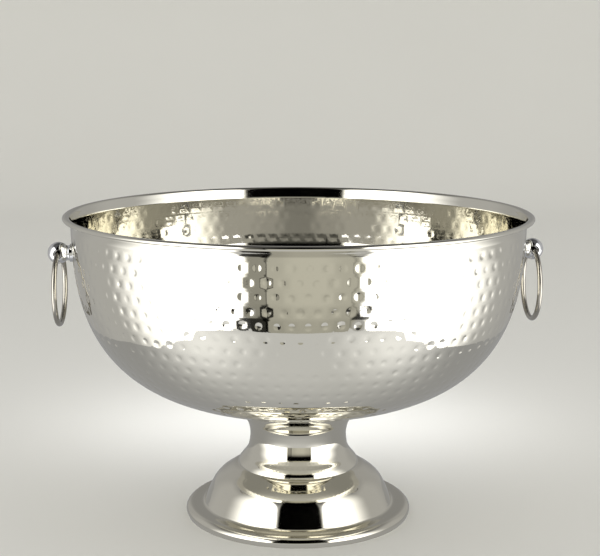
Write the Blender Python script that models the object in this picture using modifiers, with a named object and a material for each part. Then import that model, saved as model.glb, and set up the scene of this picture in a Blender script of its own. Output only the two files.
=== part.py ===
"""Footed champagne bowl: a spun metal bowl bolted on a turned foot, with a drop ring on each side.

Metres, +Z up, +X towards the right handle. The base rests on Z = 0, centred on the Z axis.
"""

import math

import bmesh
import bpy

MM = 0.001

# Sheet and fits
SHEET = 1.2 * MM
GAP = 0.3 * MM
MERGE_DISTANCE = 0.01 * MM

# Bowl: the middle of the sheet follows a superellipse up to the rim's curl
BOWL_RADIUS = 193.1 * MM
BOWL_DEPTH = 177.5 * MM
BOWL_WIDEST_Z = 276.8 * MM
BOWL_POWER = 2.95
WALL_TOP_Z = 256.5 * MM
CURL_REACH = 2.5 * MM
CURL_RISE = 1.4 * MM
CURL_CENTRE = (197.3 * MM, 264.4 * MM)
CURL_END = math.radians(-80)
BOWL_SEGMENTS = 64
WALL_POINTS = 16
CURL_POINTS = 7

# Foot: the outside of the sheet, as knots of radius and height in millimetres, top to bottom
NECK_KNOTS = (
    (52.0, 98.9),
    (49.0, 91.5),
    (46.2, 85.5),
    (43.9, 80.5),
    (42.6, 75.5),
    (42.2, 69.0),
    (43.6, 60.0),
    (46.5, 54.7),
    (50.0, 50.5),
)
STEP_KNOTS = ((50.0, 50.5), (51.9, 47.9), (52.8, 45.9), (53.1, 44.3))
DOME_KNOTS = ((53.1, 44.3), (57.0, 42.6), (61.2, 40.0), (68.5, 35.0), (73.6, 29.5), (77.7, 22.0), (82.2, 12.6))
FLANGE_KNOTS = (
    (82.2, 12.6),
    (83.6, 10.3),
    (87.0, 9.5),
    (92.0, 9.2),
    (95.6, 8.4),
    (98.2, 6.2),
    (99.0, 3.4),
    (97.8, 0.0),
)
LIP_INNER_RADIUS = 93.0 * MM
FOOT_SEGMENTS = 48

# Foot fixing, on the Z axis
STUD_RADIUS = 4.0 * MM
STUD_HOLE_RADIUS = 4.4 * MM
STUD_HEAD_RADIUS = 14.0 * MM
STUD_HEAD_THICKNESS = 2.5 * MM
STUD_BOTTOM_Z = 42.5 * MM
STUD_CHAMFER = 0.5 * MM
PLATE_TOP_Z = 60.0 * MM
PLATE_THICKNESS = 3.0 * MM
PLATE_TOP_RADIUS = 41.6 * MM
PLATE_BOTTOM_RADIUS = 43.0 * MM
WASHER_RADIUS = 10.0 * MM
WASHER_THICKNESS = 1.6 * MM
SPRING_WASHER_RADIUS = 7.2 * MM
SPRING_WASHER_THICKNESS = 2.0 * MM
SPRING_WASHER_SLIT = 1.4 * MM
NUT_ACROSS_FLATS = 13.0 * MM
NUT_HEIGHT = 6.5 * MM
NUT_SIDES = 6

# Handles, on the bowl's +X and -X sides
HANDLE_Z = 232.5 * MM
HINGE_X = 204.9 * MM
BALL_RADIUS = 9.3 * MM
BALL_POINTS = 12
RING_HOLE_RADIUS = 3.5 * MM
NECK_RADIUS = 6.8 * MM
NECK_WAIST_RADIUS = 6.3 * MM
COLLAR_RADIUS = 7.7 * MM
COLLAR_FACE_X = 195.3 * MM
RING_RADIUS = 30.9 * MM
RING_WIRE_RADIUS = 2.2 * MM
RING_DROP = 30.3 * MM
RING_SEGMENTS = 48
RING_WIRE_SEGMENTS = 10
SCREW_RADIUS = 2.5 * MM
SCREW_HOLE_RADIUS = 2.9 * MM
SCREW_TIP_X = 199.7 * MM
SCREW_HEAD_RADIUS = 4.6 * MM
SCREW_HEAD_HEIGHT = 2.6 * MM
SCREW_HEAD_CROWN = ((0.6, 0.1), (0.9, 0.4))  # shares of the head's radius and height
BACK_WASHER_RADIUS = 8.0 * MM
BACK_WASHER_FACE_X = 188.2 * MM
SEAL_RADIUS = 7.0 * MM
SEAL_THICKNESS = 0.8 * MM
SMALL_SEGMENTS = 32
BAND_STEPS = 4

QUARTER_TURN = math.radians(90)
HALF_TURN = math.radians(180)


# ---------------------------------------------------------------- scene, materials and helpers


def clear_scene():
    for old in list(bpy.data.objects):
        bpy.data.objects.remove(old, do_unlink=True)


def new_collection(name):
    made = bpy.data.collections.new(name)
    bpy.context.scene.collection.children.link(made)
    return made


def metal(name, colour, roughness, metallic=1.0):
    made = bpy.data.materials.new(name)
    made.use_nodes = True
    shader = made.node_tree.nodes["Principled BSDF"]
    shader.inputs["Base Color"].default_value = (*colour, 1.0)
    shader.inputs["Roughness"].default_value = roughness
    shader.inputs["Metallic"].default_value = metallic
    made.diffuse_color = (*colour, 1.0)
    return made


def spline(knots, steps):
    """Catmull-Rom points through knots in millimetres, steps to each span, as (radius, height) in metres."""
    ends = [tuple(2 * a - b for a, b in zip(knots[0], knots[1]))]
    ends += list(knots)
    ends += [tuple(2 * a - b for a, b in zip(knots[-1], knots[-2]))]
    points = []
    for i in range(1, len(ends) - 2):
        for step in range(steps):
            t = step / steps
            weights = (
                (-t + 2 * t**2 - t**3) / 2,
                (2 - 5 * t**2 + 3 * t**3) / 2,
                (t + 4 * t**2 - 3 * t**3) / 2,
                (-(t**2) + t**3) / 2,
            )
            near = ends[i - 1 : i + 3]
            points.append(tuple(MM * sum(w * k[axis] for w, k in zip(weights, near)) for axis in (0, 1)))
    points.append(tuple(MM * value for value in knots[-1]))
    return points


def arc(centre, reach, rise, start, end, points):
    """Points on an ellipse's arc in the profile's plane, both ends included."""
    angles = [start + (end - start) * i / (points - 1) for i in range(points)]
    return [(centre[0] + reach * math.cos(a), centre[1] + rise * math.sin(a)) for a in angles]


def add_object(name, mesh, material, collection, parent=None):
    made = bpy.data.objects.new(name, mesh)
    collection.objects.link(made)
    if material:
        mesh.materials.append(material)
    made.parent = parent
    return made


def turned(name, profile, segments, material, collection, closed=True, parent=None):
    """A profile of (radius, height) points turned about the object's Z axis, its faces looking outwards."""
    mesh = bpy.data.meshes.new(name)
    edges = [(i, i + 1) for i in range(len(profile) - 1)]
    outline = list(profile)
    if closed:
        edges.append((len(profile) - 1, 0))
    else:
        outline += [(0.0, profile[-1][1]), (0.0, profile[0][1])]
    loop = zip(outline, outline[1:] + outline[:1])
    area = sum(a[0] * b[1] - b[0] * a[1] for a, b in loop)
    mesh.from_pydata([(radius, 0.0, height) for radius, height in profile], edges, [])
    made = add_object(name, mesh, material, collection, parent)
    screw = made.modifiers.new("Turn", "SCREW")
    screw.steps = segments
    screw.render_steps = segments
    screw.use_merge_vertices = True
    screw.merge_threshold = MERGE_DISTANCE
    screw.use_normal_flip = area > 0
    return made


def thicken(shell, offset):
    solidify = shell.modifiers.new("Sheet", "SOLIDIFY")
    solidify.thickness = SHEET
    solidify.offset = offset
    solidify.use_even_offset = True


def boolean(part, cutter, operation="DIFFERENCE"):
    made = part.modifiers.new(operation.title(), "BOOLEAN")
    made.operation = operation
    made.object = cutter
    made.solver = "EXACT"


def as_cutter(made):
    made.hide_render = True
    made.display_type = "WIRE"
    return made


def rod(name, radius, start, end, material, collection, parent=None, segments=SMALL_SEGMENTS):
    """A solid round bar along the object's Z axis."""
    profile = [(0.0, start), (radius, start), (radius, end), (0.0, end)]
    return turned(name, profile, segments, material, collection, closed=False, parent=parent)


def tube(name, inner, outer, start, end, material, collection, parent=None):
    """A plain ring or washer about the object's Z axis."""
    profile = [(inner, start), (outer, start), (outer, end), (inner, end)]
    return turned(name, profile, SMALL_SEGMENTS, material, collection, parent=parent)


def empty(name, location, rotation, collection):
    made = bpy.data.objects.new(name, None)
    made.location = location
    made.rotation_euler = rotation
    made.empty_display_size = 10 * MM
    collection.objects.link(made)
    return made


# ---------------------------------------------------------------- bowl


def wall_radius(height):
    """Radius of the middle of the wall at this height, below the rim's curl."""
    depth = (BOWL_WIDEST_Z - height) / BOWL_DEPTH
    return BOWL_RADIUS * (1 - depth**BOWL_POWER) ** (1 / BOWL_POWER)


def bowl_profile():
    """The middle of the bowl's sheet, from the centre of its bottom to the end of the rim's curl."""
    top_angle = math.acos(((BOWL_WIDEST_Z - WALL_TOP_Z) / BOWL_DEPTH) ** (BOWL_POWER / 2))
    points = []
    for i in range(WALL_POINTS + 1):
        angle = top_angle * i / WALL_POINTS
        radius = BOWL_RADIUS * math.sin(angle) ** (2 / BOWL_POWER)
        height = BOWL_WIDEST_Z - BOWL_DEPTH * math.cos(angle) ** (2 / BOWL_POWER)
        points.append((radius, height))
    return points + arc(CURL_CENTRE, CURL_REACH, CURL_RISE, HALF_TURN, CURL_END, CURL_POINTS)


def make_bowl(material, collection, cutters):
    bowl = turned("bowl_shell", bowl_profile(), BOWL_SEGMENTS, material, collection, closed=False)
    thicken(bowl, 0.0)
    for side, turn in (("right", QUARTER_TURN), ("left", -QUARTER_TURN)):
        drill = rod(f"{side}_wall_drill", SCREW_HOLE_RADIUS, BOWL_RADIUS / 2, HINGE_X, None, cutters)
        drill.location.z = HANDLE_Z
        drill.rotation_euler.y = turn
        boolean(bowl, as_cutter(drill))
    return bowl


# ---------------------------------------------------------------- foot and its fixing


def foot_profile():
    """The outside of the foot's sheet, from the neck's top to the inner edge of the turned-in base."""
    points = spline(NECK_KNOTS, 1) + spline(STEP_KNOTS, 1)[1:]
    points += spline(DOME_KNOTS, 2)[1:] + spline(FLANGE_KNOTS, 1)[1:]
    return points + [(LIP_INNER_RADIUS, 0.0)]


def make_foot(material, collection):
    foot = turned("foot_shell", foot_profile(), FOOT_SEGMENTS, material, collection, closed=False)
    thicken(foot, -1.0)
    return foot


def make_foot_fixing(steel, zinc, collection, cutters):
    bowl_bottom = BOWL_WIDEST_Z - BOWL_DEPTH - SHEET / 2
    head_top = bowl_bottom - GAP
    head_bottom = head_top - STUD_HEAD_THICKNESS
    stud = [
        (0.0, STUD_BOTTOM_Z),
        (STUD_RADIUS - STUD_CHAMFER, STUD_BOTTOM_Z),
        (STUD_RADIUS, STUD_BOTTOM_Z + STUD_CHAMFER),
        (STUD_RADIUS, head_bottom),
        (STUD_HEAD_RADIUS, head_bottom),
        (STUD_HEAD_RADIUS, head_top),
        (0.0, head_top),
    ]
    turned("foot_stud", stud, SMALL_SEGMENTS, steel, collection, closed=False)

    plate_bottom = PLATE_TOP_Z - PLATE_THICKNESS
    plate = [
        (STUD_HOLE_RADIUS, plate_bottom),
        (PLATE_BOTTOM_RADIUS, plate_bottom),
        (PLATE_TOP_RADIUS, PLATE_TOP_Z),
        (STUD_HOLE_RADIUS, PLATE_TOP_Z),
    ]
    turned("foot_clamp_plate", plate, FOOT_SEGMENTS, zinc, collection)

    washer_top = plate_bottom - GAP
    washer_bottom = washer_top - WASHER_THICKNESS
    tube("foot_washer", STUD_HOLE_RADIUS, WASHER_RADIUS, washer_bottom, washer_top, zinc, collection)

    spring_top = washer_bottom - GAP
    spring_bottom = spring_top - SPRING_WASHER_THICKNESS
    radii = (STUD_HOLE_RADIUS, SPRING_WASHER_RADIUS)
    spring = tube("foot_spring_washer", *radii, spring_bottom, spring_top, zinc, collection)
    slit_height = 3 * SPRING_WASHER_THICKNESS
    bpy.ops.mesh.primitive_cube_add(size=1)
    slit = bpy.context.object
    slit.name = "spring_washer_slit"
    slit.scale = (2 * SPRING_WASHER_RADIUS, SPRING_WASHER_SLIT, slit_height)
    slit.location = (SPRING_WASHER_RADIUS + STUD_RADIUS / 2, 0.0, (spring_top + spring_bottom) / 2)
    slit.users_collection[0].objects.unlink(slit)
    cutters.objects.link(slit)
    boolean(spring, as_cutter(slit))

    nut_top = spring_bottom - GAP
    nut_bottom = nut_top - NUT_HEIGHT
    corner = NUT_ACROSS_FLATS / 2 / math.cos(math.pi / NUT_SIDES)
    nut = rod("foot_nut", corner, nut_bottom, nut_top, zinc, collection, segments=NUT_SIDES)
    boolean(nut, as_cutter(rod("nut_drill", STUD_HOLE_RADIUS, 0.0, nut_top + GAP, None, cutters)))


# ---------------------------------------------------------------- handles


def wall_band(name, offset, cutters):
    """A solid drum inside the wall's middle surface moved out by offset, as a cutter for saddle faces."""
    reach = 2 * BALL_RADIUS
    heights = [HANDLE_Z + reach * i / BAND_STEPS for i in range(-BAND_STEPS, BAND_STEPS + 1)]
    profile = [(0.0, heights[0])]
    profile += [(wall_radius(height) + offset, height) for height in heights]
    profile += [(0.0, heights[-1])]
    return as_cutter(turned(name, profile, BOWL_SEGMENTS, None, cutters, closed=False))


def knob_profile():
    """Half outline of the knob along its own axis, whose zero is the Z axis of the bowl."""
    base = COLLAR_FACE_X + GAP
    neck_end = HINGE_X - math.sqrt(BALL_RADIUS**2 - NECK_RADIUS**2)
    ball_start = HALF_TURN - math.asin(NECK_RADIUS / BALL_RADIUS)
    profile = [(0.0, base), (NECK_RADIUS, base), (NECK_WAIST_RADIUS, (base + neck_end) / 2)]
    for along, radius in arc((HINGE_X, 0.0), BALL_RADIUS, BALL_RADIUS, ball_start, 0.0, BALL_POINTS):
        profile.append((radius, along))
    profile[-1] = (0.0, HINGE_X + BALL_RADIUS)
    return profile


def make_handle(side, turn, sign, metals, collection, cutters, bands):
    """One handle. Its axis empty stands on the Z axis at the handle's height with Z pointing outwards."""
    polished, ring_metal, zinc, rubber = metals
    axis = empty(f"{side}_handle_axis", (0.0, 0.0, HANDLE_Z), (0.0, turn, 0.0), collection)
    drills = empty(f"{side}_handle_drill_axis", (0.0, 0.0, HANDLE_Z), (0.0, turn, 0.0), cutters)

    def name(piece):
        return f"{side}_handle_{piece}"

    def drill(label, radius, start, end):
        return as_cutter(rod(name(label), radius, start, end, None, cutters, parent=drills))

    clearance = drill("clearance", SCREW_HOLE_RADIUS, BOWL_RADIUS / 2, SCREW_TIP_X + GAP)

    outline = knob_profile()
    knob = turned(name("knob"), outline, SMALL_SEGMENTS, polished, collection, closed=False, parent=axis)
    boolean(knob, clearance)
    ring_drill = rod(
        name("ring_drill"), RING_HOLE_RADIUS, -2 * BALL_RADIUS, 2 * BALL_RADIUS, None, cutters, parent=drills
    )
    ring_drill.location.z = HINGE_X
    ring_drill.rotation_euler.x = QUARTER_TURN
    boolean(knob, as_cutter(ring_drill))

    inside_wall = BOWL_RADIUS / 2
    collar = rod(name("collar"), COLLAR_RADIUS, inside_wall, COLLAR_FACE_X, polished, collection, parent=axis)
    boolean(collar, bands["outside"])
    boolean(collar, clearance)

    seal = rod(name("seal"), SEAL_RADIUS, BACK_WASHER_FACE_X, HINGE_X, rubber, collection, parent=axis)
    boolean(seal, bands["seal_outer"], "INTERSECT")
    boolean(seal, bands["seal_inner"])
    boolean(seal, clearance)

    washer = rod(
        name("washer"), BACK_WASHER_RADIUS, BACK_WASHER_FACE_X, HINGE_X, polished, collection, parent=axis
    )
    boolean(washer, bands["washer"], "INTERSECT")
    boolean(washer, clearance)

    head_face = BACK_WASHER_FACE_X - GAP
    head_end = head_face - SCREW_HEAD_HEIGHT
    crown = [(SCREW_HEAD_RADIUS * out, head_end + SCREW_HEAD_HEIGHT * up) for out, up in SCREW_HEAD_CROWN]
    screw = [
        (0.0, head_end),
        *crown,
        (SCREW_HEAD_RADIUS, head_face),
        (SCREW_RADIUS, head_face),
        (SCREW_RADIUS, SCREW_TIP_X),
        (0.0, SCREW_TIP_X),
    ]
    turned(name("screw"), screw, SMALL_SEGMENTS, zinc, collection, closed=False, parent=axis)

    hinge = empty(f"{side}_ring_hinge", (sign * HINGE_X, 0.0, HANDLE_Z), (0.0, 0.0, 0.0), collection)
    bpy.ops.mesh.primitive_torus_add(
        major_radius=RING_RADIUS,
        minor_radius=RING_WIRE_RADIUS,
        major_segments=RING_SEGMENTS,
        minor_segments=RING_WIRE_SEGMENTS,
    )
    ring = bpy.context.object
    ring.name = name("ring")
    ring.data.materials.append(ring_metal)
    ring.users_collection[0].objects.unlink(ring)
    collection.objects.link(ring)
    # The mesh is moved, so that the ring's own origin stays on the hinge.
    mesh = bmesh.new()
    mesh.from_mesh(ring.data)
    for vertex in mesh.verts:
        vertex.co = (vertex.co.z, vertex.co.x, vertex.co.y - RING_DROP)
    mesh.to_mesh(ring.data)
    mesh.free()
    ring.data.shade_smooth()
    ring.parent = hinge


def make_handles(metals, collection, cutters):
    inner = -SHEET / 2 - GAP
    bands = {
        "outside": wall_band("collar_saddle", SHEET / 2 + GAP, cutters),
        "seal_outer": wall_band("seal_saddle", inner, cutters),
        "seal_inner": wall_band("seal_face", inner - SEAL_THICKNESS, cutters),
        "washer": wall_band("washer_saddle", inner - SEAL_THICKNESS - GAP, cutters),
    }
    make_handle("left", -QUARTER_TURN, -1, metals, collection, cutters, bands)
    make_handle("right", QUARTER_TURN, 1, metals, collection, cutters, bands)


def main():
    clear_scene()
    parts = new_collection("champagne_bowl")
    cutters = new_collection("cutters")
    bowl_metal = metal("polished_hammered_metal", (0.80, 0.79, 0.76), 0.08)
    foot_metal = metal("polished_metal", (0.78, 0.77, 0.73), 0.06)
    knob_metal = metal("chromed_metal", (0.82, 0.83, 0.85), 0.07)
    ring_metal = metal("nickel_wire", (0.74, 0.71, 0.64), 0.14)
    zinc = metal("zinc_plated_steel", (0.62, 0.63, 0.64), 0.35)
    rubber = metal("black_rubber", (0.03, 0.03, 0.03), 0.7, metallic=0.0)

    make_bowl(bowl_metal, parts, cutters)
    make_foot(foot_metal, parts)
    make_foot_fixing(foot_metal, zinc, parts, cutters)
    make_handles((knob_metal, ring_metal, zinc, rubber), parts, cutters)


main()
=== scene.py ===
"""Looks of the footed champagne bowl.

A hammered, polished bowl stands on a turned foot, with a drop ring on each side.
Metres, +Z up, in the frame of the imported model.
"""

import math

import bmesh
import bpy
import numpy as np
from mathutils import Matrix, Vector


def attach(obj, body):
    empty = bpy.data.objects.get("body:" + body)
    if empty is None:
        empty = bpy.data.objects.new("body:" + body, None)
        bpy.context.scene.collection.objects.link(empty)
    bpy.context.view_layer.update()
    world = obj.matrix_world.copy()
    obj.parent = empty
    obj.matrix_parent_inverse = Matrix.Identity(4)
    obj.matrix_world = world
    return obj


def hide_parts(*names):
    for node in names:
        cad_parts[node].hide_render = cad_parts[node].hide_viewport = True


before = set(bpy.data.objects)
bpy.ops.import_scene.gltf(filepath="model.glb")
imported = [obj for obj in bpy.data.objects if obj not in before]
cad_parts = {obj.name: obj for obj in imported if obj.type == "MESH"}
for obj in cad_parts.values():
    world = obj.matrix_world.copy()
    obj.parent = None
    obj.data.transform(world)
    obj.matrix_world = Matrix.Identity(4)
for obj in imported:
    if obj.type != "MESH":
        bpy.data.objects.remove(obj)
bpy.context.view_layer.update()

MM = 0.001

# Sheet and bowl, as in the CAD model
SHEET = 1.2 * MM
BOWL_RADIUS = 193.1 * MM
BOWL_DEPTH = 177.5 * MM
BOWL_WIDEST_Z = 276.8 * MM
BOWL_POWER = 2.95
WALL_TOP_Z = 256.5 * MM
CURL_REACH = 2.5 * MM
CURL_RISE = 1.4 * MM
CURL_CENTRE = (197.3 * MM, 264.4 * MM)
CURL_END = math.radians(-80)

# Hammer marks: staggered rows of small dents, from a smooth band under the rim down to the foot
FIRST_ROW_Z = 249.3 * MM
ROW_PITCH = 11.0 * MM
MARK_PITCH = 12.4 * MM
LAST_ROW_RADIUS = 62.0 * MM
MARK_RADIUS = 3.0 * MM
MARK_DEPTH = 0.24 * MM
HOLLOW_DEPTH = 0.02 * MM
INSIDE_SHARE = 0.75
CELL_HEIGHT = ROW_PITCH * 0.86
TURN_SCATTER = 0.04
ACROSS_SCATTER = 0.45 * MM
ACROSS_LIMIT = 1.2 * MM
ALONG_SCATTER = 0.30 * MM
ALONG_LIMIT = 0.7 * MM
RADIUS_SCATTER = 0.08
RADIUS_LIMITS = (0.8, 1.15)
DEPTH_SCATTER = 0.22
DEPTH_LIMITS = (0.45, 1.5)
EDGE_PARTS = 4
RIM_SEGMENTS = 224
# Rings of the plain bottom, as radius in millimetres and number of segments, and the middle point's place
BOTTOM_RINGS = ((52, 128), (44, 96), (34, 64), (24, 48), (14, 32), (6, 16))
BOTTOM_START = 0.31 * MM

# Foot: the outside of the sheet, as knots of radius and height in millimetres, top to bottom
NECK_KNOTS = (
    (52.0, 98.9),
    (49.0, 91.5),
    (46.2, 85.5),
    (43.9, 80.5),
    (42.6, 75.5),
    (42.2, 69.0),
    (43.6, 60.0),
    (46.5, 54.7),
    (50.0, 50.5),
)
STEP_KNOTS = ((50.0, 50.5), (51.9, 47.9), (52.8, 45.9), (53.1, 44.3))
DOME_KNOTS = (
    (53.1, 44.3),
    (57.0, 42.6),
    (61.2, 40.0),
    (68.5, 35.0),
    (73.6, 29.5),
    (77.7, 22.0),
    (82.2, 12.6),
)
FLANGE_KNOTS = (
    (82.2, 12.6),
    (83.6, 10.3),
    (87.0, 9.5),
    (92.0, 9.2),
    (95.6, 8.4),
    (98.2, 6.2),
    (99.0, 3.4),
    (97.8, 0.0),
)
LIP_OUTER_RADIUS = 96.6 * MM
LIP_INNER_RADIUS = 93.0 * MM
FOOT_SEGMENTS = 192

# Handles
HANDLE_Z = 232.5 * MM
HINGE_X = 204.9 * MM
BALL_RADIUS = 9.3 * MM
RING_HOLE_RADIUS = 3.5 * MM
HOLE_FLARE = 0.7 * MM
NECK_RADIUS = 6.8 * MM
NECK_WAIST_RADIUS = 6.3 * MM
COLLAR_RADIUS = 7.7 * MM
COLLAR_FACE_X = 195.3 * MM
RING_RADIUS = 30.9 * MM
RING_WIRE_RADIUS = 2.2 * MM
RING_DROP = 30.3 * MM
LEFT_RING_TWIST = math.radians(3.0)
RIGHT_RING_TWIST = 0.0
SCREW_HOLE_RADIUS = 2.9 * MM
SCREW_TIP_X = 199.7 * MM
GAP = 0.3 * MM

# Camera: a little to the left of the handles' square-on view
CAMERA_TURN = math.radians(-4.2)
CAMERA_PLACE = (0.0013, -1.15, 0.4112)
CAMERA_TILT = math.pi / 2 - 0.1744
CAMERA_ROLL = 0.0025

# Studio
WALL_GLOW = 0.47
CEILING_GLOW = 0.10
SOFTBOX_GLOW = 2.2
AMBIENT_GLOW = 0.83
# Height of the glowing card that paints the table's reflection, just under the floor
PAINTED_TABLE_REFLECTION_Z = -0.2 * MM
# Softboxes, as centre and half size in degrees across from the camera's side and up from level
LEFT_SOFTBOX = ((-75, 2), (50, 52))
RIGHT_SOFTBOX = ((80, 2), (50, 52))
# The panel between the softboxes, in degrees across
PANEL_LEFT = -25.5
PANEL_RIGHT = 30.5
SEAM_AT = -15.6
FOLD_AT = 27.6
# The glowing card that paints the table's reflection in the metal, seen from above
TABLE_OUTLINE = (
    (-0.18, -0.455),
    (0.18, -0.455),
    (0.25, -0.41),
    (0.305, -0.34),
    (0.315, -0.20),
    (0.35, -0.09),
    (0.38, 0.09),
    (0.40, 0.60),
    (-0.40, 0.60),
    (-0.385, -0.01),
    (-0.35, -0.09),
    (-0.315, -0.19),
    (-0.305, -0.34),
    (-0.24, -0.425),
)
# Painted pools of light on the table's painted reflection, one under each softbox: centre and radius
TABLE_PAINTED_LIGHT_POOL = (0.255, -0.285)
TABLE_PAINTED_LIGHT_POOL_RADIUS = 0.2
FLOOR_FRONT = -7.0
SWEEP_RADIUS = 1.2
SWEEP_WIDTH = 14.0
WALL_Y = 3.2
WALL_TOP = 6.0

rng = np.random.default_rng(7)


# ---------------------------------------------------------------- mesh helpers


def mesh_object(name, points, faces):
    mesh = bpy.data.meshes.new(name)
    mesh.from_pydata([tuple(map(float, p)) for p in points], [], faces)
    mesh.validate()
    mesh.update()
    made = bpy.data.objects.new(name, mesh)
    bpy.context.scene.collection.objects.link(made)
    return made


def smooth(obj, degrees=35):
    obj.data.shade_smooth()
    obj.data.set_sharp_from_angle(angle=math.radians(degrees))
    return obj


def face_outwards(obj):
    tidy = bmesh.new()
    tidy.from_mesh(obj.data)
    bmesh.ops.recalc_face_normals(tidy, faces=tidy.faces)
    tidy.to_mesh(obj.data)
    tidy.free()


def lathe(name, profile, segments, closed=True):
    """A profile of (radius, height) points turned about Z. Points on the axis become one vertex."""
    points, rings = [], []
    for radius, height in profile:
        if radius < 1e-7:
            rings.append([len(points)] * segments)
            points.append((0.0, 0.0, height))
            continue
        rings.append(list(range(len(points), len(points) + segments)))
        for i in range(segments):
            angle = 2 * math.pi * i / segments
            points.append((radius * math.cos(angle), radius * math.sin(angle), height))
    faces = []
    pairs = list(zip(rings, rings[1:]))
    if closed:
        pairs.append((rings[-1], rings[0]))
    for low, high in pairs:
        for i in range(segments):
            j = (i + 1) % segments
            corners = []
            for corner in (low[i], low[j], high[j], high[i]):
                if corner not in corners:
                    corners.append(corner)
            if len(corners) > 2:
                faces.append(corners)
    made = mesh_object(name, points, faces)
    face_outwards(made)
    return made


def spline(knots, steps):
    """Catmull-Rom points through knots in millimetres, steps to each span, as (radius, height) in metres."""
    ends = [tuple(2 * a - b for a, b in zip(knots[0], knots[1]))]
    ends += list(knots)
    ends += [tuple(2 * a - b for a, b in zip(knots[-1], knots[-2]))]
    points = []
    for i in range(1, len(ends) - 2):
        for step in range(steps):
            t = step / steps
            weights = (
                (-t + 2 * t**2 - t**3) / 2,
                (2 - 5 * t**2 + 3 * t**3) / 2,
                (t + 4 * t**2 - 3 * t**3) / 2,
                (-(t**2) + t**3) / 2,
            )
            near = ends[i - 1 : i + 3]
            points.append(tuple(MM * sum(w * k[axis] for w, k in zip(weights, near)) for axis in (0, 1)))
    points.append(tuple(MM * value for value in knots[-1]))
    return points


def zip_rings(first, first_angles, second, second_angles):
    """Triangles between two closed rings of vertex numbers, each with rising angles within one turn."""
    faces = []
    i = j = 0
    n, m = len(first), len(second)
    turn = 2 * math.pi
    while i < n or j < m:
        next_i = first_angles[(i + 1) % n] + turn * ((i + 1) // n)
        next_j = second_angles[(j + 1) % m] + turn * ((j + 1) // m)
        if j >= m or (i < n and next_i <= next_j):
            faces.append((first[i % n], first[(i + 1) % n], second[j % m]))
            i += 1
        else:
            faces.append((first[i % n], second[(j + 1) % m], second[j % m]))
            j += 1
    return faces


# ---------------------------------------------------------------- bowl


class WallCurve:
    """The middle of the bowl's sheet, by distance along it from the bottom's centre to the rim's end."""

    def __init__(self):
        top = math.acos(((BOWL_WIDEST_Z - WALL_TOP_Z) / BOWL_DEPTH) ** (BOWL_POWER / 2))
        angle = np.linspace(0, 1, 4001) * top
        radius = BOWL_RADIUS * np.sin(angle) ** (2 / BOWL_POWER)
        height = BOWL_WIDEST_Z - BOWL_DEPTH * np.cos(angle) ** (2 / BOWL_POWER)
        share = np.linspace(0, 1, 60)[1:]
        ease = share * share * (3 - 2 * share)
        neck_radius = radius[-1] + (CURL_CENTRE[0] - CURL_REACH - radius[-1]) * ease
        neck_height = WALL_TOP_Z + (CURL_CENTRE[1] - WALL_TOP_Z) * share
        turn = np.linspace(math.pi, CURL_END, 120)[1:]
        curl_radius = CURL_CENTRE[0] + CURL_REACH * np.cos(turn)
        curl_height = CURL_CENTRE[1] + CURL_RISE * np.sin(turn)
        self.radius = np.concatenate([radius, neck_radius, curl_radius])
        self.height = np.concatenate([height, neck_height, curl_height])
        steps = np.hypot(np.diff(self.radius), np.diff(self.height))
        self.along = np.concatenate([[0], np.cumsum(steps)])
        self.curl_start = self.along[len(radius) + len(neck_radius) - 1]
        self.wall_end = self.along[len(radius) - 1]
        self.length = self.along[-1]

    def at_height(self, height):
        """Distance along the wall at this height, below the curl."""
        last = np.searchsorted(self.along, self.wall_end)
        return float(np.interp(height, self.height[: last + 1], self.along[: last + 1]))

    def at_radius(self, radius):
        last = np.searchsorted(self.along, self.wall_end)
        return float(np.interp(radius, self.radius[: last + 1], self.along[: last + 1]))

    def place(self, along, offset):
        """(radius, height) at this distance along the middle, moved out along the normal by offset."""
        step = 0.12 * MM
        ahead, behind = along + step, along - step
        dr = np.interp(ahead, self.along, self.radius) - np.interp(behind, self.along, self.radius)
        dz = np.interp(ahead, self.along, self.height) - np.interp(behind, self.along, self.height)
        size = np.hypot(dr, dz)
        radius = np.interp(along, self.along, self.radius)
        height = np.interp(along, self.along, self.height)
        return radius + offset * dz / size, height - offset * dr / size


class Skin:
    """One side of the bowl's sheet, gathered as vertices and faces."""

    def __init__(self, curve, side):
        self.curve = curve
        self.side = side
        self.points = []
        self.faces = []
        self.count = 0

    def add(self, angle, along, depth):
        """Adds points at these angles and distances along the wall, sunk by depth. Returns their numbers."""
        sunk = depth if self.side > 0 else depth * INSIDE_SHARE
        radius, height = self.curve.place(along, self.side * SHEET / 2 - sunk)
        self.points.append(np.stack([radius * np.cos(angle), radius * np.sin(angle), height], axis=-1))
        first = self.count
        self.count += len(angle)
        return np.arange(first, self.count)

    def ring(self, angles, along):
        return self.add(angles, np.full(len(angles), along), np.zeros(len(angles)))

    def face(self, corners):
        self.faces.append(tuple(map(int, corners if self.side > 0 else corners[::-1])))

    def join(self, first, first_angles, second, second_angles):
        for corners in zip_rings(first, first_angles, second, second_angles):
            self.face(corners)


def mark_rings(side):
    """(share of the mark's radius, vertices, share of its depth) from the lip to near the centre."""
    if side < 0:
        return ((0.95, 8, 0.0),)
    return ((1.12, 16, 0.0), (0.88, 16, 0.30), (0.60, 16, 0.68), (0.30, 8, 0.92))


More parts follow.
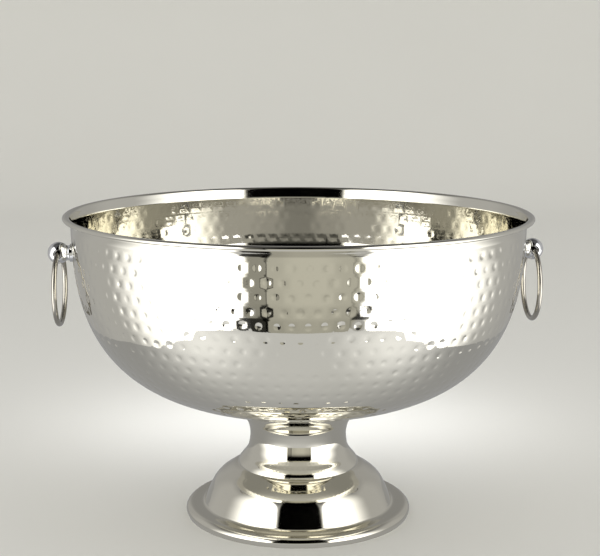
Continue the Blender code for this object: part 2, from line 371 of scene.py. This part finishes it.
def cell_template(width, height, side):
    """Faces of one cell, numbered: the boundary loop first, then each mark ring, then the centre."""
    half = EDGE_PARTS
    loop = [(-0.5 + i / half, -0.5) for i in range(half)] + [(0.5, -0.5), (0.5, 0.0)]
    loop += [(0.5 - i / half, 0.5) for i in range(half)] + [(-0.5, 0.5), (-0.5, 0.0)]
    angles = [math.atan2(y * height, x * width) for x, y in loop]
    numbers = list(range(len(loop)))
    faces = []
    total = len(loop)
    for _, count, _ in mark_rings(side):
        ring = list(range(total, total + count))
        ring_angles = [2 * math.pi * i / count for i in range(count)]
        outer = sorted((a % (2 * math.pi), n) for a, n in zip(angles, numbers))
        faces += zip_rings([n for _, n in outer], [a for a, _ in outer], ring, ring_angles)
        numbers, angles = ring, ring_angles
        total += count
    for i in range(len(numbers)):
        faces.append((numbers[i], numbers[(i + 1) % len(numbers)], total))
    return faces


def add_row(skin, along, count, turn, marks):
    """Adds one row of cells and returns both its edges.

    marks holds each mark's shift across and along the wall, its radius and its depth.
    """
    radius = float(np.interp(along, skin.curve.along, skin.curve.radius))
    edge_count = count * EDGE_PARTS
    step = 2 * math.pi / edge_count
    edge_angles = turn + step * (np.arange(edge_count) - EDGE_PARTS / 2)
    low = skin.ring(edge_angles, along - CELL_HEIGHT / 2)
    high = skin.ring(edge_angles, along + CELL_HEIGHT / 2)
    side_angles = edge_angles[::EDGE_PARTS]
    middle = skin.add(side_angles, np.full(count, along), np.full(count, HOLLOW_DEPTH * 0.3))
    width = 2 * math.pi * radius / count
    faces = cell_template(width, CELL_HEIGHT, skin.side)
    centres = edge_angles[:edge_count:EDGE_PARTS] + step * EDGE_PARTS / 2
    across, up, size, depth = marks
    ring_numbers = []
    for share, vertices, sunk in mark_rings(skin.side):
        around = 2 * math.pi * np.arange(vertices) / vertices
        x = across[:, None] + size[:, None] * share * np.cos(around)[None, :]
        y = up[:, None] + size[:, None] * share * np.sin(around)[None, :]
        angle = centres[:, None] + x / radius
        fall = depth[:, None] * sunk + HOLLOW_DEPTH + 0 * x
        numbers = skin.add(angle.ravel(), (along + y).ravel(), fall.ravel())
        ring_numbers.append(numbers.reshape(count, vertices))
    bottom = skin.add(centres + across / radius, along + up, depth + HOLLOW_DEPTH)
    for cell in range(count):
        nxt = (cell + 1) % count
        first = cell * EDGE_PARTS
        loop = [low[first + i] for i in range(EDGE_PARTS)]
        loop += [low[(first + EDGE_PARTS) % edge_count], middle[nxt]]
        loop += [high[(first + EDGE_PARTS - i) % edge_count] for i in range(EDGE_PARTS)]
        loop += [high[first], middle[cell]]
        table = loop + [n for ring in ring_numbers for n in ring[cell]] + [bottom[cell]]
        for corners in faces:
            skin.face([table[c] for c in corners])
    return (low, edge_angles), (high, edge_angles)


def rising(ring):
    """The ring rolled so that its angles rise from the smallest one, within one turn."""
    numbers, angles = ring
    angles = np.asarray(angles) % (2 * math.pi)
    start = int(angles.argmin())
    return np.roll(numbers, -start), np.roll(angles, -start)


def row_plan(curve):
    """The rows of marks from the top down, as (distance along, number of marks, turn, marks)."""
    along = curve.at_height(FIRST_ROW_Z)
    last = curve.at_radius(LAST_ROW_RADIUS)
    plan = []
    row = 0
    while along > last:
        radius = float(np.interp(along, curve.along, curve.radius))
        count = round(2 * math.pi * radius / MARK_PITCH)
        if plan and abs(count - plan[-1][1]) < 3:
            count = plan[-1][1]
        turn = (row % 2) * math.pi / count + rng.uniform(-TURN_SCATTER, TURN_SCATTER) * MARK_PITCH / radius
        marks = (
            rng.normal(0, ACROSS_SCATTER, count).clip(-ACROSS_LIMIT, ACROSS_LIMIT),
            rng.normal(0, ALONG_SCATTER, count).clip(-ALONG_LIMIT, ALONG_LIMIT),
            MARK_RADIUS * rng.normal(1, RADIUS_SCATTER, count).clip(*RADIUS_LIMITS),
            MARK_DEPTH * rng.normal(1, DEPTH_SCATTER, count).clip(*DEPTH_LIMITS),
        )
        plan.append((along, count, turn, marks))
        along -= ROW_PITCH
        row += 1
    return plan


def make_skin(curve, side, plan):
    skin = Skin(curve, side)
    plain_angles = 2 * math.pi * np.arange(RIM_SEGMENTS) / RIM_SEGMENTS
    previous = None
    first_along = plan[0][0] + ROW_PITCH * 0.5
    stations = list(np.linspace(first_along, curve.wall_end, 3))
    stations += list(np.linspace(curve.wall_end, curve.curl_start, 5))[1:]
    stations += list(np.linspace(curve.curl_start, curve.length - 0.01 * MM, 15))[1:]
    for along in stations[::-1]:
        ring = (skin.ring(plain_angles, along), plain_angles)
        if previous is None:
            end_ring = ring[0]
        else:
            skin.join(*ring, *previous)
        previous = ring
    for along, count, turn, marks in plan:
        low, high = add_row(skin, along, count, turn, marks)
        skin.join(*rising(high), *rising(previous))
        previous = low
    for radius, segments in BOTTOM_RINGS:
        angles = 2 * math.pi * np.arange(segments) / segments
        ring = (skin.ring(angles, curve.at_radius(radius * MM)), angles)
        skin.join(*rising(ring), *rising(previous))
        previous = ring
    centre = skin.add(np.zeros(1), np.full(1, BOTTOM_START), np.zeros(1))[0]
    skin.points[-1][0, :2] = 0.0
    numbers = previous[0]
    for i in range(len(numbers)):
        skin.face((centre, numbers[i], numbers[(i + 1) % len(numbers)]))
    return skin, end_ring


def make_bowl():
    curve = WallCurve()
    plan = row_plan(curve)
    outer, outer_end = make_skin(curve, 1, plan)
    inner, inner_end = make_skin(curve, -1, plan)
    points = np.concatenate(outer.points + inner.points)
    shift = outer.count
    faces = list(outer.faces)
    faces += [tuple(shift + c for c in corners) for corners in inner.faces]
    for i in range(RIM_SEGMENTS):
        j = (i + 1) % RIM_SEGMENTS
        corners = (outer_end[i], outer_end[j], shift + inner_end[j], shift + inner_end[i])
        faces.append(tuple(map(int, corners)))
    bowl = mesh_object("hammered_bowl", points, faces)
    face_outwards(bowl)
    return smooth(bowl, 50)


# ---------------------------------------------------------------- foot


def make_foot():
    outside = spline(NECK_KNOTS, 8) + spline(STEP_KNOTS, 4)[1:]
    outside += spline(DOME_KNOTS, 8)[1:] + spline(FLANGE_KNOTS, 6)[1:]
    outside += [(LIP_OUTER_RADIUS, 0.0), (LIP_INNER_RADIUS, 0.0)]
    foot = lathe("turned_foot", outside, FOOT_SEGMENTS, closed=False)
    sheet = foot.modifiers.new("Sheet", "SOLIDIFY")
    sheet.thickness = SHEET
    sheet.offset = -1.0
    sheet.use_even_offset = True
    return smooth(foot, 50)


# ---------------------------------------------------------------- handles


def arc(centre, radius, start, end, points):
    angles = [start + (end - start) * i / (points - 1) for i in range(points)]
    return [(centre[0] + radius * math.cos(a), centre[1] + radius * math.sin(a)) for a in angles]


def apply_modifiers(obj):
    graph = bpy.context.evaluated_depsgraph_get()
    made = bpy.data.meshes.new_from_object(obj.evaluated_get(graph))
    obj.modifiers.clear()
    obj.data = made


def outwards(sign):
    """Turns a piece built along +Z so that it points out along the handle's axis."""
    return Matrix.Translation((0, 0, HANDLE_Z)) @ Matrix.Rotation(sign * math.pi / 2, 4, "Y")


def make_knob(name, sign):
    base = COLLAR_FACE_X + GAP
    neck_end = HINGE_X - math.sqrt(BALL_RADIUS**2 - NECK_RADIUS**2)
    ball_start = math.pi - math.asin(NECK_RADIUS / BALL_RADIUS)
    profile = [(0.0, SCREW_TIP_X + GAP), (SCREW_HOLE_RADIUS, SCREW_TIP_X + GAP), (SCREW_HOLE_RADIUS, base)]
    profile += [(NECK_RADIUS - 0.3 * MM, base), (NECK_RADIUS, base + 0.3 * MM)]
    waist = (base + neck_end) / 2
    profile += [(NECK_WAIST_RADIUS + 0.1 * MM, (base + waist) / 2), (NECK_WAIST_RADIUS, waist)]
    profile += [(NECK_WAIST_RADIUS + 0.15 * MM, (waist + neck_end) / 2)]
    ball = arc((HINGE_X, 0.0), BALL_RADIUS, ball_start, 0.0, 40)
    profile += [(radius, along) for along, radius in ball[:-1]]
    profile.append((0.0, HINGE_X + BALL_RADIUS))
    knob = lathe(name, profile, 96, closed=False)
    reach = BALL_RADIUS + 2 * MM
    flare_at = BALL_RADIUS - 1.3 * MM
    mouth = [(0.0, -reach), (RING_HOLE_RADIUS + 3 * HOLE_FLARE, -reach)]
    mouth += [(RING_HOLE_RADIUS + HOLE_FLARE, -flare_at - 0.5 * MM)]
    mouth += [(RING_HOLE_RADIUS + 0.2 * HOLE_FLARE, -flare_at)]
    mouth += [(RING_HOLE_RADIUS, -flare_at + 0.8 * MM)]
    cutter = lathe(name + "_cutter", mouth + [(r, -z) for r, z in mouth[::-1]], 64, closed=False)
    cutter.data.transform(Matrix.Translation((0, 0, HINGE_X)) @ Matrix.Rotation(math.pi / 2, 4, "X"))
    drill = knob.modifiers.new("Drill", "BOOLEAN")
    drill.operation = "DIFFERENCE"
    drill.object = cutter
    drill.solver = "EXACT"
    apply_modifiers(knob)
    bpy.data.objects.remove(cutter)
    knob.data.transform(outwards(sign))
    return smooth(knob, 40)


def wall_x(y, z, offset):
    """How far out the middle of the wall is at this side position and height, moved out by offset."""
    depth = (BOWL_WIDEST_Z - z) / BOWL_DEPTH
    radius = BOWL_RADIUS * (1 - depth**BOWL_POWER) ** (1 / BOWL_POWER) + offset
    return math.sqrt(radius**2 - y**2)


def saddle_disc(name, inner, outer, back, front, sign, segments=64):
    """A washer round the handle's axis, its faces at back and front, each a distance or a wall offset."""
    rings = []
    points = []

    def face_x(kind, y, z):
        return kind[1] if kind[0] == "flat" else wall_x(y, z, kind[1])

    edge = min(0.3 * MM, (outer - inner) * 0.1)
    for radius, kind, shift in (
        (inner, back, 0.0),
        (outer, back, 0.0),
        (outer, front, -edge),
        (outer - edge, front, 0.0),
        (inner, front, 0.0),
    ):
        ring = []
        for i in range(segments):
            angle = 2 * math.pi * i / segments
            y, z = radius * math.cos(angle), radius * math.sin(angle)
            ring.append(len(points))
            points.append((sign * (face_x(kind, y, HANDLE_Z + z) + shift), y, HANDLE_Z + z))
        rings.append(ring)
    faces = []
    for a, b in zip(rings, rings[1:] + rings[:1]):
        for i in range(segments):
            j = (i + 1) % segments
            faces.append((a[i], a[j], b[j], b[i]))
    made = mesh_object(name, points, faces)
    face_outwards(made)
    return smooth(made, 40)


def make_ring(name, sign, turn):
    bpy.ops.mesh.primitive_torus_add(
        major_radius=RING_RADIUS, minor_radius=RING_WIRE_RADIUS, major_segments=160, minor_segments=24
    )
    ring = bpy.context.object
    ring.name = name
    upright = Matrix(((0, 0, 1, 0), (1, 0, 0, 0), (0, 1, 0, -RING_DROP), (0, 0, 0, 1)))
    twist = Matrix.Rotation(sign * turn, 4, "Z")
    ring.data.transform(Matrix.Translation((sign * HINGE_X, 0, HANDLE_Z)) @ twist @ upright)
    return smooth(ring, 60)


# ---------------------------------------------------------------- materials


class Nodes:
    """Shorthand for building one material's nodes."""

    def __init__(self, name):
        self.material = bpy.data.materials.new(name)
        self.material.use_nodes = True
        self.tree = self.material.node_tree
        self.shader = self.tree.nodes["Principled BSDF"]
        self.position = self.tree.nodes.new("ShaderNodeTexCoord").outputs["Object"]

    def add(self, kind, **inputs):
        node = self.tree.nodes.new(kind)
        for name, value in inputs.items():
            socket = node.inputs[name.replace("_", " ")]
            if isinstance(value, bpy.types.NodeSocket):
                self.tree.links.new(value, socket)
            else:
                socket.default_value = value
        return node

    def noise(self, scale, detail=3.0, roughness=0.5, source=None):
        place = source or self.position
        node = self.add("ShaderNodeTexNoise", Vector=place, Scale=scale, Detail=detail, Roughness=roughness)
        return node.outputs["Fac"]

    def stretched(self, scale):
        """The position scaled differently along each axis."""
        node = self.add("ShaderNodeMapping", Vector=self.position, Scale=scale)
        return node.outputs["Vector"]

    def spread(self, value, low, high, to_low, to_high):
        node = self.add("ShaderNodeMapRange", Value=value)
        node.inputs["From Min"].default_value = low
        node.inputs["From Max"].default_value = high
        node.inputs["To Min"].default_value = to_low
        node.inputs["To Max"].default_value = to_high
        return node.outputs["Result"]

    def blend(self, factor, first, second):
        node = self.tree.nodes.new("ShaderNodeMix")
        node.data_type = "RGBA"
        self.tree.links.new(factor, node.inputs["Factor"])
        node.inputs["A"].default_value = (*first, 1.0)
        node.inputs["B"].default_value = (*second, 1.0)
        return next(o for o in node.outputs if o.type == "RGBA")

    def set(self, name, value):
        socket = self.shader.inputs[name]
        if isinstance(value, bpy.types.NodeSocket):
            self.tree.links.new(value, socket)
        else:
            socket.default_value = value

    def bump(self, height, distance, strength=1.0):
        node = self.add("ShaderNodeBump", Height=height)
        node.inputs["Distance"].default_value = distance
        node.inputs["Strength"].default_value = strength
        self.set("Normal", node.outputs["Normal"])


def polished_metal(name, light, dark, roughness, waviness=0.0, lines=False):
    """Mirror-bright metal: a slight tint drift, smudges in the gloss and, if turned, fine lathe lines."""
    made = Nodes(name)
    drift = made.noise(9.0, 2.0)
    made.set("Metallic", 1.0)
    made.set("Base Color", made.blend(made.spread(drift, 0.3, 0.7, 0.0, 1.0), light, dark))
    smudge = made.noise(38.0, 5.0, 0.6)
    made.set("Roughness", made.spread(smudge, 0.35, 0.75, *roughness))
    if lines:
        fine = made.noise(1.0, 2.0, 0.5, made.stretched((6.0, 6.0, 2600.0)))
        made.bump(fine, 0.000004)
    elif waviness:
        made.bump(made.noise(70.0, 1.0, 0.4), waviness)
    return made.material


def zinc_plate():
    made = Nodes("zinc_plate")
    made.set("Metallic", 1.0)
    cloud = made.noise(420.0, 4.0, 0.6)
    made.set("Base Color", made.blend(cloud, (0.50, 0.51, 0.53), (0.72, 0.73, 0.74)))
    made.set("Roughness", made.spread(made.noise(900.0, 3.0), 0.3, 0.7, 0.28, 0.48))
    made.bump(made.noise(2400.0, 2.0), 0.00001)
    return made.material


def rubber():
    made = Nodes("black_rubber_seal")
    made.set("Base Color", made.blend(made.noise(600.0), (0.012, 0.012, 0.012), (0.035, 0.034, 0.032)))
    made.set("Roughness", made.spread(made.noise(1500.0), 0.3, 0.7, 0.55, 0.8))
    made.bump(made.noise(3000.0), 0.00002)
    return made.material


# ---------------------------------------------------------------- assembling the object


def dress(obj, material, body, slot, *nodes):
    obj.data.materials.clear()
    obj.data.materials.append(material)
    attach(obj, body)
    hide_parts(*nodes)


def paint_node(name, material):
    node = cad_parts[name]
    node.data.materials.clear()
    node.data.materials.append(material)


def build_object():
    hammered = polished_metal(
        "hammered_metal", (0.82, 0.80, 0.725), (0.79, 0.77, 0.69), (0.03, 0.08), waviness=0.00004
    )
    turned = polished_metal(
        "turned_metal", (0.81, 0.785, 0.70), (0.77, 0.745, 0.655), (0.03, 0.08), lines=True
    )
    chromed = polished_metal(
        "chromed_knob_metal", (0.84, 0.85, 0.87), (0.80, 0.81, 0.83), (0.04, 0.10)
    )
    nickel = polished_metal(
        "nickel_ring_metal", (0.56, 0.535, 0.48), (0.47, 0.445, 0.395), (0.07, 0.20)
    )
    zinc = zinc_plate()
    seal = rubber()

    dress(make_bowl(), hammered, "stand", "polished_hammered_metal", "bowl_shell")
    dress(make_foot(), turned, "stand", "polished_metal", "foot_shell")
    for side, sign, twist in (("left", -1, LEFT_RING_TWIST), ("right", 1, RIGHT_RING_TWIST)):
        cad = f"{side}_handle_"
        knob = make_knob(f"{side}_knob", sign)
        dress(knob, chromed, "stand", "chromed_metal", cad + "knob")
        collar_back = ("wall", SHEET / 2 + GAP)
        collar_front = ("flat", COLLAR_FACE_X)
        collar = saddle_disc(
            f"{side}_collar", SCREW_HOLE_RADIUS, COLLAR_RADIUS, collar_back, collar_front, sign
        )
        dress(collar, chromed, "stand", "chromed_metal", cad + "collar")
        ring = make_ring(f"{side}_ring", sign, twist)
        dress(ring, nickel, f"{side}_ring", "nickel_wire", cad + "ring")
        paint_node(cad + "washer", chromed)
        paint_node(cad + "seal", seal)
        paint_node(cad + "screw", zinc)
    paint_node("foot_stud", turned)
    for name in ("foot_clamp_plate", "foot_washer", "foot_spring_washer", "foot_nut"):
        paint_node(name, zinc)


# ---------------------------------------------------------------- helpers for the studio


def studio_point(x, y, z):
    """A place given as the camera sees the set: x to its right, y away from it."""
    return Matrix.Rotation(CAMERA_TURN, 3, "Z") @ Vector((x, y, z))


class Glow:
    """Shorthand for the nodes of a light-giving shader, the world's or a card's."""

    def __init__(self, tree):
        self.tree = tree
        tree.nodes.clear()

    def math(self, operation, first, second=0.0):
        node = self.tree.nodes.new("ShaderNodeMath")
        node.operation = operation
        for socket, value in zip(node.inputs, (first, second)):
            if isinstance(value, bpy.types.NodeSocket):
                self.tree.links.new(value, socket)
            else:
                socket.default_value = value
        return node.outputs[0]

    def ease(self, value, start, end, low=0.0, high=1.0):
        """Runs smoothly from low at start to high at end, and stays level outside."""
        node = self.tree.nodes.new("ShaderNodeMapRange")
        node.interpolation_type = "SMOOTHSTEP"
        self.tree.links.new(value, node.inputs["Value"])
        node.inputs["From Min"].default_value = start
        node.inputs["From Max"].default_value = end
        node.inputs["To Min"].default_value = low
        node.inputs["To Max"].default_value = high
        return node.outputs["Result"]

    def seen_from_camera(self, coordinate):
        """x, y and z of this texture coordinate, turned so that x runs to the camera's right."""
        source = self.tree.nodes.new("ShaderNodeTexCoord")
        turn = self.tree.nodes.new("ShaderNodeVectorRotate")
        turn.rotation_type = "Z_AXIS"
        turn.inputs["Angle"].default_value = -CAMERA_TURN
        self.tree.links.new(source.outputs[coordinate], turn.inputs["Vector"])
        node = self.tree.nodes.new("ShaderNodeSeparateXYZ")
        self.tree.links.new(turn.outputs["Vector"], node.inputs[0])
        return node.outputs

    def band(self, value, centre, inner, outer, low):
        """low within inner of the centre, easing up to 1 at outer."""
        distance = self.math("ABSOLUTE", self.math("SUBTRACT", value, centre))
        return self.ease(distance, inner, outer, low, 1.0)

    def oval(self, across, up, centre, half):
        """Distance from an oval's centre, 1 on its rounded-off outline."""
        total = None
        for value, middle, reach in zip((across, up), centre, half):
            share = self.math("ABSOLUTE", self.math("DIVIDE", self.math("SUBTRACT", value, middle), reach))
            power = self.math("POWER", share, 3.0)
            total = power if total is None else self.math("ADD", total, power)
        return self.math("POWER", total, 1 / 3)

    def window(self, value, start, end, soft):
        """1 between start and end, with a soft edge centred on each."""
        half = soft / 2
        return self.product(
            self.ease(value, start - half, start + half), self.ease(value, end + half, end - half)
        )

    def less(self, share, amount):
        """What is left of 1 when this share of the amount is taken away."""
        return self.math("SUBTRACT", 1.0, self.math("MULTIPLY", share, amount))

    def total(self, *values):
        result = values[0]
        for value in values[1:]:
            result = self.math("ADD", result, value)
        return result

    def product(self, *values):
        result = values[0]
        for value in values[1:]:
            result = self.math("MULTIPLY", result, value)
        return result


# ---------------------------------------------------------------- what the metal mirrors


def room_and_panel(glow, across, up, in_front):
    """The room's walls, and the pale panel that stands before the camera between the softboxes."""
    aside = glow.math("ABSOLUTE", across)
    behind = glow.product(glow.ease(aside, 122, 146, 1.0, 0.84), glow.ease(aside, 152, 172, 1.0, 0.7))
    walls = glow.product(glow.ease(up, 30, 56, WALL_GLOW, CEILING_GLOW), behind)
    panel = glow.ease(across, -16, -15, 0.32, 0.50)
    panel = glow.total(panel, glow.product(glow.window(across, -6, 17, 12), 0.08))
    panel = glow.product(panel, glow.ease(up, 12, -2), glow.ease(up, -36, -20, 0.75, 1.0))
    seam = glow.band(across, SEAM_AT, 0.3, 0.9, 0.2)
    fold = glow.band(across, FOLD_AT, 0.3, 1.2, 0.7)
    front = glow.product(panel, in_front, seam, fold)
    return glow.total(front, glow.product(walls, glow.less(in_front, 1.0)))


def softbox(glow, across, up, shape, dark_at, bright_at, inset):
    """One softbox: sharp towards the camera, fading away from it, narrower where only the foot sees it."""
    shift = glow.ease(up, -14, -3, 0.0, inset)
    box = glow.ease(glow.oval(across, up, *shape), 1.03, 0.95)
    return glow.product(
        box, glow.ease(glow.math("ADD", across, shift), dark_at, bright_at), SOFTBOX_GLOW
    )


def dark_gaps(glow, across, up):
    """What is left of the light where dark gaps show above the table's edge."""
    low = glow.product(glow.window(across, -31, -15.8, 1.2), glow.ease(up, -27.6, -28.8))
    post = glow.product(glow.window(across, -18.6, -15.6, 0.8), glow.ease(up, -22.5, -24.5))
    right = glow.product(glow.window(across, 27.8, 37, 1.5), glow.window(up, -30.5, -26.5, 1.0))
    return glow.product(glow.less(low, 0.88), glow.less(post, 0.9), glow.less(right, 0.9))


def make_surroundings():
    """The room as the metal mirrors it, by degrees across from the camera's side and up from level."""
    world = bpy.data.worlds.new("studio")
    bpy.context.scene.world = world
    world.use_nodes = True
    tree = world.node_tree
    glow = Glow(tree)
    x, y, z = glow.seen_from_camera("Generated")
    across = glow.math("DEGREES", glow.math("ARCTAN2", x, glow.math("MULTIPLY", y, -1.0)))
    up = glow.math("DEGREES", glow.math("ARCSINE", z))

    in_front = glow.window(across, PANEL_LEFT, PANEL_RIGHT, 3)
    room = room_and_panel(glow, across, up, in_front)
    left = softbox(glow, across, up, LEFT_SOFTBOX, -112, -64, -11.0)
    right = softbox(glow, across, up, RIGHT_SOFTBOX, 124, 76, 22.0)
    mirrored = glow.product(glow.total(room, left, right), dark_gaps(glow, across, up))

    path = tree.nodes.new("ShaderNodeLightPath")
    mix = tree.nodes.new("ShaderNodeMix")
    tree.links.new(path.outputs["Is Glossy Ray"], mix.inputs["Factor"])
    mix.inputs["A"].default_value = AMBIENT_GLOW
    tree.links.new(mirrored, mix.inputs["B"])
    background = tree.nodes.new("ShaderNodeBackground")
    tint = tree.nodes.new("ShaderNodeMix")
    tint.data_type = "RGBA"
    tree.links.new(in_front, tint.inputs["Factor"])
    tint.inputs["A"].default_value = (1.0, 0.99, 0.97, 1.0)
    tint.inputs["B"].default_value = (1.0, 0.97, 0.84, 1.0)
    colour = next(socket for socket in tint.outputs if socket.type == "RGBA")
    tree.links.new(colour, background.inputs["Color"])
    tree.links.new(mix.outputs["Result"], background.inputs["Strength"])
    output = tree.nodes.new("ShaderNodeOutputWorld")
    tree.links.new(background.outputs["Background"], output.inputs["Surface"])


def make_painted_table_reflection():
    """A glowing card, seen only in the metal, that paints the table's reflection: painted pools of light
    under the softboxes, and painted shade that makes it darker towards the back, where the bowl shades the
    table.
    """
    corners = [studio_point(x, y, PAINTED_TABLE_REFLECTION_Z) for x, y in TABLE_OUTLINE]
    table = mesh_object("painted_table_reflection", corners, [tuple(range(len(corners)))])
    table.visible_camera = False
    table.visible_diffuse = False
    table.visible_shadow = False
    material = bpy.data.materials.new("painted_table_reflection")
    material.use_nodes = True
    tree = material.node_tree
    glow = Glow(tree)
    x, y, _ = glow.seen_from_camera("Object")
    # Painted shade: darker towards the back, where the bowl shades the table
    level = glow.ease(y, 0.0, -0.26, 0.33, 0.62)
    for side in (-1, 1):
        # A painted pool of light under each softbox
        centre = (side * TABLE_PAINTED_LIGHT_POOL[0], TABLE_PAINTED_LIGHT_POOL[1])
        distance = glow.oval(x, y, centre, (TABLE_PAINTED_LIGHT_POOL_RADIUS, TABLE_PAINTED_LIGHT_POOL_RADIUS))
        painted_light_pool = glow.ease(distance, 1.0, 0.0, 0.0, 0.42)
        level = glow.math("ADD", level, painted_light_pool)
    emission = tree.nodes.new("ShaderNodeEmission")
    tree.links.new(level, emission.inputs["Strength"])
    output = tree.nodes.new("ShaderNodeOutputMaterial")
    tree.links.new(emission.outputs["Emission"], output.inputs["Surface"])
    table.data.materials.append(material)


# ---------------------------------------------------------------- floor, lamps and camera


def make_sweep():
    """A pale floor that curves up into a wall far behind the object."""
    outline = [(FLOOR_FRONT, 0.0)]
    centre = (WALL_Y - SWEEP_RADIUS, SWEEP_RADIUS)
    for i in range(25):
        angle = math.pi / 2 * i / 24
        along = centre[0] + SWEEP_RADIUS * math.sin(angle)
        outline.append((along, centre[1] - SWEEP_RADIUS * math.cos(angle)))
    outline.append((WALL_Y, WALL_TOP))
    points = [studio_point(x, y, z) for y, z in outline for x in (-SWEEP_WIDTH / 2, SWEEP_WIDTH / 2)]
    faces = [(2 * i, 2 * i + 1, 2 * i + 3, 2 * i + 2) for i in range(len(outline) - 1)]
    sweep = smooth(mesh_object("floor", points, faces))
    sweep.visible_glossy = False
    paint = Nodes("floor_paint")
    paint.set("Base Color", paint.blend(paint.noise(2.5, 2.0), (0.80, 0.80, 0.78), (0.78, 0.78, 0.76)))
    paint.set("Roughness", 0.5)
    paint.set("Specular IOR Level", 0.12)
    sweep.data.materials.append(paint.material)


def lamp(name, place, target, width, height, power):
    """A soft area light that the metal doesn't mirror."""
    light = bpy.data.lights.new(name, "AREA")
    light.shape = "RECTANGLE"
    light.size = width
    light.size_y = height
    light.energy = power
    made = bpy.data.objects.new(name, light)
    bpy.context.scene.collection.objects.link(made)
    made.location = studio_point(*place)
    direction = studio_point(*target) - made.location
    made.rotation_euler = direction.to_track_quat("-Z", "Y").to_euler()
    made.visible_camera = False
    made.visible_glossy = False


def make_studio():
    bpy.context.scene.view_settings.view_transform = "Standard"
    make_surroundings()
    make_painted_table_reflection()
    make_sweep()
    lamp("left_lamp", (-1.5, -0.9, 1.3), (0, 0, 0), 1.2, 1.2, 2)
    lamp("right_lamp", (1.5, -0.9, 1.3), (0, 0, 0), 1.2, 1.2, 2)
    lamp("back_lamp", (0, 0.27, 0.20), (0, 0.28, 0), 0.34, 0.08, 0.42)


def make_camera():
    data = bpy.data.cameras.new("camera")
    data.lens = 80.9
    data.sensor_width = 36.0
    made = bpy.data.objects.new("camera", data)
    bpy.context.scene.collection.objects.link(made)
    place = Matrix.Translation(studio_point(*CAMERA_PLACE)) @ Matrix.Rotation(CAMERA_TURN, 4, "Z")
    made.matrix_world = place @ Matrix.Rotation(CAMERA_TILT, 4, "X") @ Matrix.Rotation(CAMERA_ROLL, 4, "Z")
    bpy.context.scene.camera = made


build_object()
make_studio()
make_camera()
